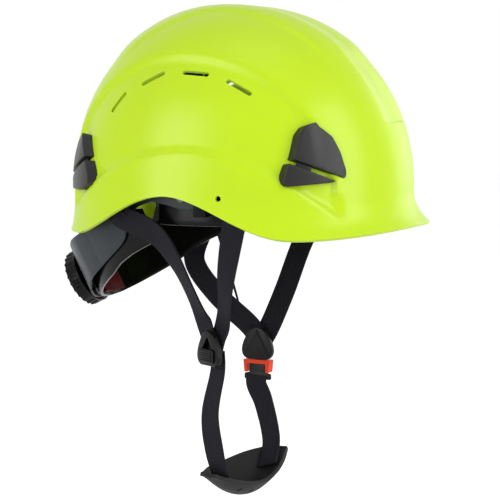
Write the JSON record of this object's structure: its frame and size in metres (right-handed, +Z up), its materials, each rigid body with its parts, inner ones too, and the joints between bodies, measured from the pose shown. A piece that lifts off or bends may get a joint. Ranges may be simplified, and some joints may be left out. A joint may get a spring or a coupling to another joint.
{
  "type": "arborist helmet",
  "caption": "Vented climbing helmet with lamp clips, webbing cradle, ratchet-adjusted nape cradle and a four-point chin harness with a release buckle.",
  "frame": {"origin": "centre of the wearer's head at the shell's widest level", "axes": "+Z up, -Y to the front (the peak), +X to the wearer's left"},
  "size_m": [0.219, 0.2889, 0.3686],
  "materials": {
    "shell_lime": "semi-gloss moulded ABS, high-visibility lime",
    "clip_black": "grained matte black nylon",
    "wing_slate": "satin slate grey nylon",
    "harness_black": "black acetal, half gloss",
    "accent_orange": "red-orange acetal",
    "cup_grey": "soft dark grey moulding",
    "webbing": "woven polyester webbing, black",
    "foam": "knitted cloth over foam",
    "pin_steel": "turned steel"
  },
  "bodies": {
    "root": {"brow_pad": "foam", "cradle_anchor_front_left": "harness_black", "cradle_anchor_front_right": "harness_black", "cradle_anchor_rear_left": "harness_black", "cradle_anchor_rear_right": "harness_black", "cradle_anchor_side_left": "harness_black", "cradle_anchor_side_right": "harness_black", "cradle_strap_1": "webbing", "cradle_strap_2": "webbing", "cradle_strap_3": "webbing", "harness_hook_front_left": "harness_black", "harness_hook_front_right": "harness_black", "harness_hook_rear_left": "harness_black", "harness_hook_rear_right": "harness_black", "headband": "harness_black", "lamp_clip_front_left": "clip_black", "lamp_clip_front_right": "clip_black", "lamp_clip_rear_left": "clip_black", "lamp_clip_rear_right": "clip_black", "nape_pivot_pin_left": "pin_steel", "nape_pivot_pin_right": "pin_steel", "shell": "shell_lime", "strap_divider_left": "harness_black", "strap_divider_right": "harness_black", "strap_front_left": "webbing", "strap_front_right": "webbing", "strap_rear_left": "webbing", "strap_rear_right": "webbing"},
    "nape_cradle": {"nape_liner": "harness_black", "nape_insert": "accent_orange", "nape_wing_right": "wing_slate", "nape_wing_left": "wing_slate", "ratchet_base": "harness_black", "ratchet_cover": "wing_slate", "nape_hanger_right": "harness_black", "nape_hanger_left": "harness_black"},
    "size_knob": {"ratchet_knob": "harness_black", "knob_screw": "pin_steel", "ratchet_pinion": "harness_black"},
    "rack_right": {"size_rack_right": "harness_black"},
    "rack_left": {"size_rack_left": "harness_black"},
    "lock_right": {"divider_lock_right": "harness_black"},
    "lock_left": {"divider_lock_left": "harness_black"},
    "latch": {"buckle_latch": "accent_orange"},
    "chin_loop": {"chin_strap_right": "webbing", "chin_cup": "cup_grey", "chin_strap_left": "webbing", "buckle_tongue": "harness_black"}
  },
  "joints": [
    {"name": "nape_tilt", "type": "hinge", "parent": "root", "child": "nape_cradle", "pos_m": [0, 0.008, -0.006], "axis": [1, 0, 0], "range_deg": [-3, 1.8]},
    {"name": "knob_turn", "type": "hinge", "parent": "nape_cradle", "child": "size_knob", "pos_m": [0, 0.12148, -0.07181], "axis": [0, 0.891, -0.454], "range_deg": [-80, 80]},
    {"name": "rack_right_slide", "type": "hinge", "parent": "nape_cradle", "child": "rack_right", "pos_m": [0, 0.06647, -0.04378], "axis": [0, 0.454, 0.891], "range_deg": [-10, 10]},
    {"name": "rack_left_slide", "type": "hinge", "parent": "nape_cradle", "child": "rack_left", "pos_m": [0, 0.06647, -0.04378], "axis": [0, 0.454, 0.891], "range_deg": [-10, 10]},
    {"name": "lock_right_flip", "type": "hinge", "parent": "root", "child": "lock_right", "pos_m": [-0.06334, -0.00261, -0.1265], "axis": [-0.5446, -0.8387, 0], "range_deg": [0, 90]},
    {"name": "lock_left_flip", "type": "hinge", "parent": "root", "child": "lock_left", "pos_m": [0.06374, 0.00673, -0.1385], "axis": [0.1045, 0.9945, 0], "range_deg": [0, 90]},
    {"name": "latch_press", "type": "slide", "parent": "root", "child": "latch", "axis": [-0.9945, 0.1045, 0], "range_m": [0, 0.0025], "stiffness_N_per_m": 400, "springref_m": -0.0005},
    {"name": "chin_loop_swing", "type": "hinge", "parent": "root", "child": "chin_loop", "pos_m": [-0.0552, -0.00789, -0.1285], "axis": [0.5446, 0.8387, 0], "range_deg": [0, 55]}
  ],
  "couplings": [
    {"joint": "rack_right_slide", "follows": "knob_turn", "ratio": 0.1018},
    {"joint": "rack_left_slide", "follows": "knob_turn", "ratio": -0.1018}
  ]
}
